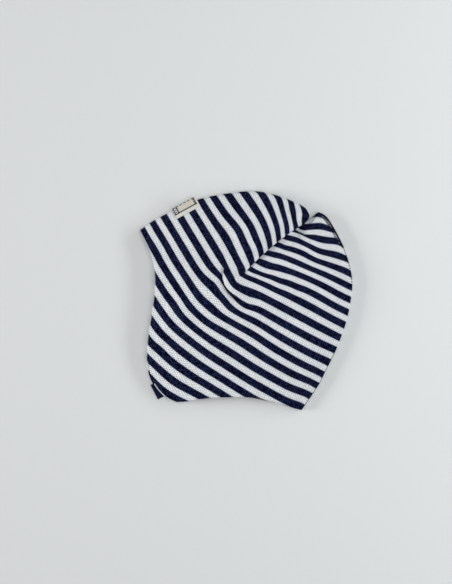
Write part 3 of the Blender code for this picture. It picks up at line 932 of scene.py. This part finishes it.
def labelMaterial():
    material, kit = newMaterial("wovenTape", 0.80)
    along, up = kit.mapCoordinates("labelMap")
    left, right, bottom, top = label["frame"]
    rightWidth, bottomWidth, topWidth = label["frameWidths"]
    blur = label["blur"]
    uneven = yarnNoise(kit, along, up, label["yarnScale"])
    inside = kit.within(along, left, right, blur) * kit.within(up, bottom, top, blur)
    block = inside * kit.within(along, left, label["blockEnd"], blur)
    ground = kit.mixColour(inside, label["ground"], label["field"])
    ground = kit.mixColour(kit.ramp(uneven, 0.40, 0.75) * 0.30, ground, label["shade"])
    ground = kit.mixColour(block, ground, label["blockGround"])

    # The frame's lower line is whole and its upper one is broken. Its right end is a column of dashes,
    # and its left end is two such columns with a row of spots between them.
    lower = inside * kit.within(up, bottom, bottom + bottomWidth, blur)
    strokes = kit.within((along / label["dashPitch"] * 0.5).fraction(), *label["strokes"])
    upper = inside * kit.within(up, top - topWidth, top, blur) * strokes
    dashes = kit.within((up / label["dashPitch"]).fraction(), *label["dashes"])
    columns = kit.within(along, right - rightWidth, right, blur)
    spots = kit.within((up / label["dashPitch"] + 0.5).fraction(), *label["spots"])
    middle = ((along / label["checkSize"]).floor() * 0.5).fraction() * 2.0
    check = dashes + middle * (spots - dashes)
    worn = 0.75 + uneven * 0.4
    colour = kit.mixColour(lower * worn, ground, label["frameThread"])
    dark = (block * check).orMore(inside * columns * dashes).orMore(upper * 0.8)
    colour = kit.mixColour(dark * worn, colour, label["thread"])
    warp = kit.fromMiddle(along / label["warp"])
    weft = kit.fromMiddle(up / label["weft"])
    kit.paint(colour, warp * 0.4 + weft * 0.6 + uneven * 0.4, *label["relief"])
    return material


def buildLabel():
    size = np.array([label["length"], label["depth"]])
    places = [np.linspace(0.0, size[0], label["columns"]), np.linspace(0.0, size[1], label["rows"])]
    flatGrid = np.stack(np.meshgrid(*places), axis=-1)
    axes = [aim(label["turn"]), aim(label["turn"] + 90)]
    plan = spotAt(*label["centre"]) + (flatGrid - 0.5 * size) @ axes
    lift = label["clearance"] + 0.5 * label["thickness"]
    height = np.array([[(capTop(spot) or -lift) + lift for spot in line] for line in plan])
    for below, above in zip(height, height[1:]):
        above[:] = np.maximum(above, below - label["slope"] * places[1][1])
    grid = withHeight(plan, height)
    return sheetPiece("wovenLabel", grid, flatGrid, "labelMap", label["thickness"], labelMaterial())


wovenLabel = buildLabel()
print("label sewn on")


# The ribbon tab, folded on itself. Lengths are in metres, the aim in degrees.
tab = {
    "root": (0.085, 0.094),
    "aim": 207,
    "width": 0.0163,
    "reach": 0.0059,  # how far it sticks out of the flap, and how far it is tucked in
    "tuck": 0.0088,
    "ply": 0.0005,
    "gap": 0.0003,
    "clearance": 0.0003,
    "widthSteps": 26,
    "lengthSteps": 11,
    "turnSteps": 8,
    "dark": (0.0012, 0.0040, 0.0270, 1.0),
    "light": (0.0080, 0.0170, 0.0720, 1.0),
    "rib": 0.00075,
    "yarnScale": 1.4,
    "relief": (0.8, 0.00018),
}


def ribbonMaterial():
    material, kit = newMaterial("navyGrosgrain", 0.72)
    along, across = kit.mapCoordinates("ribbonMap")
    rib = kit.fromMiddle(along / tab["rib"])
    uneven = yarnNoise(kit, along, across, tab["yarnScale"])
    # Random yarn tone, plus painted shade that darkens the grooves between the ribs
    yarnToneAndRibShade = kit.ramp(uneven * 0.8 + (1.0 - rib) * 0.3, 0.35, 0.95)
    height = (1.0 - rib * rib) + uneven * 0.3
    kit.paint(kit.mixColour(yarnToneAndRibShade, tab["dark"], tab["light"]), height, *tab["relief"])
    return material


def buildTab():
    out = aim(tab["aim"])
    side = np.array([-out[1], out[0]])
    turn = 0.5 * (tab["gap"] + tab["ply"])
    low = cap["wall"] + tab["clearance"] + 0.5 * tab["ply"]
    foldStart = tab["reach"] - turn - 0.5 * tab["ply"]
    lengthwise = np.linspace(-tab["tuck"], foldStart, tab["lengthSteps"] + 1)[:-1]
    profile = [(reach, low) for reach in lengthwise]
    for step in range(tab["turnSteps"] + 1):
        angle = math.pi * (step / tab["turnSteps"] - 0.5)
        profile.append((foldStart + turn * math.cos(angle), low + turn * (1.0 + math.sin(angle))))
    profile += [(reach, low + 2.0 * turn) for reach in lengthwise[::-1]]
    profile = np.array(profile)
    offSide = tab["width"] * np.linspace(-0.5, 0.5, tab["widthSteps"])[:, None]
    plan = spotAt(*tab["root"]) + side * offSide[..., None] + out * profile[None, :, :1]
    height = np.broadcast_to(profile[:, 1], plan.shape[:2])
    flatGrid = np.stack(np.broadcast_arrays(runAlong(profile), offSide + 0.5 * tab["width"]), axis=-1)
    grid = withHeight(plan, height)
    return sheetPiece("ribbonTab", grid, flatGrid, "ribbonMap", tab["ply"], ribbonMaterial())


ribbonTab = buildTab()
print("tab folded")


# Rows of stitches: from and to are how far up an edge they run, inset is how far in from the edge.
# Lengths are in metres and slants in degrees.
stitching = {
    "navyThread": (0.0020, 0.0040, 0.0140, 1.0),
    "paleThread": (0.640, 0.650, 0.655, 1.0),
    "loopThread": (0.300, 0.330, 0.420, 1.0),
    "darkest": 0.7,  # of a thread's colour, where its twist is darkest
    "twistScale": 2600.0,  # to a metre
    "relief": (0.6, 0.0001),
    "proud": 0.15,  # how far a row's middle stands over the cloth, as a share of its thickness
    "notchRoom": 0.012,  # no stitches lie this near the notch, along the outline
    "flapEnd": 0.15,  # and none of the flap's beyond this, as a share of the hat's length
    "columns": ("edge", "from", "to", "inset", "pitch", "length", "thickness", "slant", "colour"),
    "rows": {
        "overlockEdge": ("back", 0.902, 0.740, 0.0008, 0.0011, 0.0018, 0.00190, 14, "navyThread"),
        "overlockInner": ("back", 0.893, 0.780, 0.0037, 0.0016, 0.0017, 0.00095, -22, "navyThread"),
        "overlockLoops": ("back", 0.896, 0.848, 0.0026, 0.0022, 0.0016, 0.00120, 65, "loopThread"),
        "overlockDots": ("back", 0.842, 0.765, 0.0022, 0.0030, 0.0014, 0.00110, 65, "loopThread"),
        "overlockRungs": ("back", 0.890, 0.760, 0.0024, 0.0022, 0.0030, 0.00115, 72, "navyThread"),
        "edgeStitches": ("back", 0.735, 0.570, 0.0007, 0.0026, 0.0016, 0.00140, 35, "navyThread"),
        "lowSeam": ("back", 0.290, 0.012, 0.0004, 0.0015, 0.0016, 0.00085, 10, "navyThread"),
        "flapBinding": ("flap", 0.124, 0.064, 0.0002, 0.0009, 0.0014, 0.00130, 4, "paleThread"),
        "flapEdge": ("flap", 0.220, 0.155, 0.0002, 0.0009, 0.0014, 0.00055, 4, "navyThread"),
    },
}


def threadMaterial(name):
    material, kit = newMaterial(name, 0.75)
    place = kit.node("ShaderNodeTexCoord", {}, out=3)
    twist = kit.noiseAt(place, stitching["twistScale"], 2.0)
    dark = tuple(stitching["darkest"] * part for part in stitching[name][:3]) + (1.0,)
    kit.paint(kit.mixColour(twist, dark, stitching[name]), twist, *stitching["relief"])
    return material


# One tree for every row of stitches: a short rounded thread at each step of the way along a path
def stitchTree():
    tree = bpy.data.node_groups.new("stitchRow", "GeometryNodeTree")
    sockets = {
        "Path": "Geometry", "Pitch": "Float", "Length": "Float", "Thickness": "Float", "Slant": "Float",
        "Thread": "Material"}
    for name, kind in sockets.items():
        tree.interface.new_socket(name, in_out="INPUT", socket_type="NodeSocket" + kind)
    tree.interface.new_socket("Stitches", in_out="OUTPUT", socket_type="NodeSocketGeometry")
    kit = NodeKit(tree)
    given = tree.nodes.new("NodeGroupInput")
    inputs = [Flow(kit, socket) for socket in given.outputs[:len(sockets)]]
    path, pitch, length, thickness, slant, thread = inputs
    spaced = kit.node("GeometryNodeResampleCurve", {"mode": "LENGTH"}, Curve=path, Length=pitch)
    tangent = kit.node("GeometryNodeInputTangent", {})
    along = kit.node("FunctionNodeAlignRotationToVector", {"axis": "X"}, Vector=tangent)
    turned = kit.node("ShaderNodeCombineXYZ", {}, 0.0, 0.0, slant)
    across = kit.node("FunctionNodeEulerToRotation", {}, turned)
    aimed = kit.node("FunctionNodeRotateRotation", {"rotation_space": "LOCAL"}, along, across)
    size = kit.node("ShaderNodeCombineXYZ", {}, length, thickness, thickness)
    ball = kit.node("GeometryNodeMeshUVSphere", {}, Segments=8, Rings=6, Radius=0.5)
    placed = kit.node("GeometryNodeInstanceOnPoints", {}, Points=spaced, Instance=ball,
                      Rotation=aimed, Scale=size)
    real = kit.node("GeometryNodeRealizeInstances", {}, placed)
    smooth = kit.node("GeometryNodeSetShadeSmooth", {}, real)
    dyed = kit.node("GeometryNodeSetMaterial", {}, Geometry=smooth, Material=thread)
    result = tree.nodes.new("NodeGroupOutput")
    kit.join(dyed, result.inputs[0])
    return tree


stitchRow = stitchTree()
threads = {}


def sewRow(name, points, row):
    colour = row["colour"]
    if colour not in threads:
        threads[colour] = threadMaterial(colour)
    curve = bpy.data.curves.new(name + "Path", "CURVE")
    curve.dimensions = "3D"
    spline = curve.splines.new("POLY")
    spline.points.add(len(points) - 1)
    for point, spot in zip(spline.points, points):
        point.co = (*spot, 1.0)
    path = addObject(name + "Path", curve)
    maker = path.modifiers.new("stitches", "NODES")
    maker.node_group = stitchRow
    given = dict(row, slant=math.radians(row["slant"]), thread=threads[colour])
    for socket in stitchRow.interface.items_tree:
        if socket.in_out == "INPUT" and socket.name != "Path":
            maker[socket.identifier] = given[socket.name.lower()]
    bpy.context.view_layer.update()
    evaluated = path.evaluated_get(bpy.context.evaluated_depsgraph_get())
    mesh = bpy.data.meshes.new_from_object(evaluated)
    bpy.data.objects.remove(path)
    mesh.name = name
    return addObject(name, mesh)


def seamPath(row):
    points = []
    flapEnd = capLow[0] + stitching["flapEnd"] * capLength
    for ray in range(seamRay, closedCount) if row["edge"] == "back" else range(closedCount, rayCount):
        up = (knotSpots[ray, 1] - capLow[1]) / capHeight
        beyond = row["edge"] == "flap" and knotSpots[ray, 0] > flapEnd
        atNotch = abs(knotAlong[ray] - notchLength) < stitching["notchRoom"]
        if up > row["from"] or up < row["to"] or beyond or atNotch:
            continue
        plan = knotSpots[ray] - outward[ray] * row["inset"]
        points.append((*plan, capTop(plan) + stitching["proud"] * row["thickness"]))
    return points


sewn = []
for name, values in stitching["rows"].items():
    row = dict(zip(stitching["columns"], values))
    sewn.append(sewRow(name, seamPath(row), row))
print("seam stitched, %d rows" % len(sewn))


# Floor, light and camera
stage = {
    "cameraHeight": 1.50,
    "aimPixel": (226.0, 292.0),  # the photo's middle
    "hatPixel": (246.95, 300.90),  # the middle of the hat's box in the photo
    "pixelsHigh": 584,
    "metresPerPixel": 0.001,
    "edgeHeight": 0.006,  # the height at which a pixel is that long
    "sensor": 36.0,
    "floor": (0.722, 0.741, 0.749, 1.0),
    "floorReach": 3.0,
    "floorScale": 900.0,  # of its grain, to a metre
    "floorRelief": (0.25, 0.0004),
    "world": (0.950, 0.975, 1.000, 1.0),
    "worldStrength": 0.22,
    "lights": [  # name, place, size, power, colour
        ("overhead", (0.18, 0.06, 1.60), (1.2, 1.0), 10.5, (1.0, 0.99, 0.97)),
        ("leftBox", (-2.40, 0.00, 0.78), (1.3, 0.6), 45.0, (1.0, 0.99, 0.98)),
        ("rightBox", (0.95, 0.12, 0.52), (1.5, 0.30), 6.9, (0.97, 0.985, 1.0))],
}


def layFloor():
    reach = stage["floorReach"]
    mesh = bpy.data.meshes.new("floor")
    corners = [(-reach, -reach, 0.0), (reach, -reach, 0.0), (reach, reach, 0.0), (-reach, reach, 0.0)]
    mesh.from_pydata(corners, [], [(0, 1, 2, 3)])
    material, kit = newMaterial("paleCloth", 0.9, sheen=0.0)
    place = kit.node("ShaderNodeTexCoord", {}, out=3)
    kit.paint(stage["floor"], kit.noiseAt(place, stage["floorScale"], 3.0), *stage["floorRelief"])
    mesh.materials.append(material)
    return addObject("floor", mesh)


def hangLights():
    for name, spot, size, power, colour in stage["lights"]:
        data = setAll(bpy.data.lights.new(name, "AREA"), shape="RECTANGLE", size=size[0], size_y=size[1],
                      energy=power, color=colour)
        turn = (-Vector(spot)).to_track_quat("-Z", "Y").to_euler()
        setAll(addObject(name, data), location=spot, rotation_euler=turn, visible_camera=False)
    world = bpy.data.worlds.new("studio")
    world.use_nodes = True
    background = world.node_tree.nodes["Background"]
    background.inputs["Color"].default_value = stage["world"]
    background.inputs["Strength"].default_value = stage["worldStrength"]
    bpy.context.scene.world = world
    bpy.context.scene.view_settings.view_transform = "Standard"


def placeCamera():
    viewHeight = stage["pixelsHigh"] * stage["metresPerPixel"]
    lens = stage["sensor"] * (stage["cameraHeight"] - stage["edgeHeight"]) / viewHeight
    data = setAll(bpy.data.cameras.new("fromAbove"), sensor_width=stage["sensor"], lens=lens)
    across, down = np.subtract(stage["aimPixel"], stage["hatPixel"]) * stage["metresPerPixel"]
    camera = setAll(addObject("fromAbove", data), location=(across, -down, stage["cameraHeight"]))
    bpy.context.scene.camera = camera


floor = layFloor()
hangLights()
placeCamera()
print("stage set")

for piece, node, slot in (
        (knitCap, "cap_body", "striped_knit"),
        (wovenLabel, "front_label", "woven_label"),
        (ribbonTab, "side_tab", "navy_ribbon")):
    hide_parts(node)
    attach(piece, "root")
for piece in sewn:
    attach(piece, "root")
